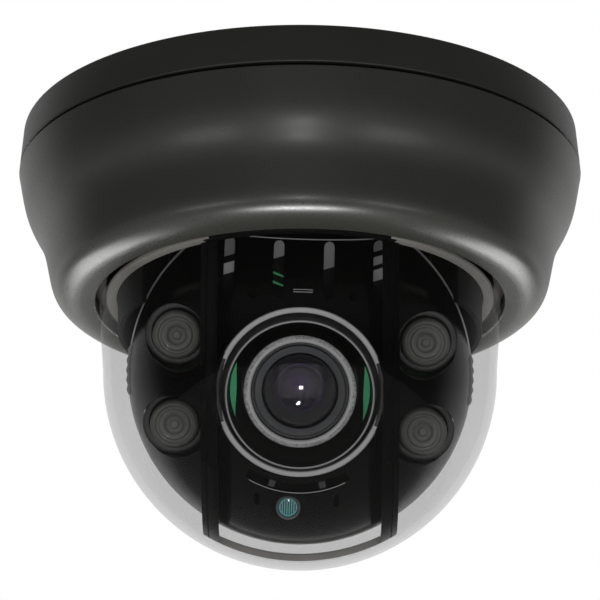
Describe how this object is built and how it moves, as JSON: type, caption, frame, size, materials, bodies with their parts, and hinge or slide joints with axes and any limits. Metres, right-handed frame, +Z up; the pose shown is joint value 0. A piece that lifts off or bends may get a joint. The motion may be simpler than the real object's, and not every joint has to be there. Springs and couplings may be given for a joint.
{
  "type": "ceiling dome security camera",
  "caption": "Surface-mount dome camera: round base, bowl cover, clear dome, and a camera ball that pans, tilts and rolls, with infrared lamps and a zoom lens.",
  "frame": {"origin": "centre of the flat ceiling face of the base", "axes": "+Z up into the ceiling, the dome hangs towards -Z, the lens looks towards -Y and down, +X to the right seen from the front"},
  "size_m": [0.145, 0.1449, 0.1146],
  "materials": {
    "housing": "satin charcoal paint, soft wide highlight",
    "base": "satin charcoal, slightly duller than the cover",
    "seal_rubber": "matte black rubber",
    "dome_clear": "clear polycarbonate with a faint grey tint",
    "zinc_steel": "zinc plated",
    "board": "solder-masked circuit board",
    "terminal": "green moulded terminal",
    "plated": "satin nickel",
    "inner_black": "black moulded plastic",
    "barrier": "gloss black",
    "ball_gloss": "smooth gloss black moulding",
    "bezel": "black ring with bright edges",
    "barrel": "grained silver-black anodised",
    "lens_glass": "coated optical glass with a violet reflection",
    "sensor_chip": "sensor cover glass",
    "lamp_lens": "smoky grey lamp lens",
    "light_cell": "teal light-sensitive cell"
  },
  "bodies": {
    "root": {"base_plate": "base", "cable_entry_grommet": "seal_rubber", "seam_gasket": "seal_rubber", "cover_housing": "housing", "cover_lock_screw": "zinc_steel", "dome_bubble": "dome_clear", "dome_seal": "seal_rubber", "dome_retaining_ring": "zinc_steel", "dome_ring_screw_1": "zinc_steel", "dome_ring_screw_2": "zinc_steel", "dome_ring_screw_3": "zinc_steel", "dome_ring_screw_4": "zinc_steel", "pan_bearing_ring": "inner_black", "power_board": "board", "power_terminal_block": "terminal", "video_jack": "plated", "board_post_1": "inner_black", "board_post_2": "inner_black"},
    "pan": {"pan_yoke": "inner_black", "pan_retainer": "zinc_steel", "pan_washer": "seal_rubber", "inner_liner": "inner_black", "light_barrier": "barrier"},
    "tilt": {"tilt_cradle": "zinc_steel", "tilt_pivot_screw_left": "zinc_steel", "tilt_pivot_screw_right": "zinc_steel"},
    "ball": {"ball_shell": "ball_gloss", "lens_bezel": "bezel", "ball_carrier": "inner_black", "roll_washer": "seal_rubber", "roll_clip": "zinc_steel", "ball_grip_left": "ball_gloss", "ball_grip_right": "ball_gloss", "lamp_board_left": "board", "lamp_board_right": "board", "lamp_cup_1": "inner_black", "lamp_cup_2": "inner_black", "lamp_cup_3": "inner_black", "lamp_cup_4": "inner_black", "infrared_lamp_1": "lamp_lens", "infrared_lamp_2": "lamp_lens", "infrared_lamp_3": "lamp_lens", "infrared_lamp_4": "lamp_lens", "light_sensor": "light_cell", "sensor_board": "board", "image_sensor": "sensor_chip", "lens_holder": "inner_black", "lens_body": "inner_black", "lens_front_barrel": "barrel", "front_lens": "lens_glass", "rear_filter": "lens_glass"},
    "zoom": {"zoom_ring": "inner_black", "zoom_lever": "zinc_steel"},
    "focus": {"focus_ring": "inner_black", "focus_lever": "zinc_steel"}
  },
  "joints": [
    {"name": "pan_turn", "type": "hinge", "parent": "root", "child": "pan", "pos_m": [0, 0, 0], "axis": [0, 0, 1], "range_deg": [-175, 175]},
    {"name": "tilt_turn", "type": "hinge", "parent": "pan", "child": "tilt", "pos_m": [0, 0, -0.0646], "axis": [1, 0, 0], "range_deg": [-27, 63]},
    {"name": "roll_turn", "type": "hinge", "parent": "tilt", "child": "ball", "pos_m": [0, 0, -0.0646], "axis": [0, -0.891, -0.454], "range_deg": [-88, 92]},
    {"name": "zoom_turn", "type": "hinge", "parent": "ball", "child": "zoom", "pos_m": [0, 0, -0.0646], "axis": [0, -0.891, -0.454], "range_deg": [-12, 8]},
    {"name": "focus_turn", "type": "hinge", "parent": "ball", "child": "focus", "pos_m": [0, 0, -0.0646], "axis": [0, -0.891, -0.454], "range_deg": [-8, 12]}
  ]
}
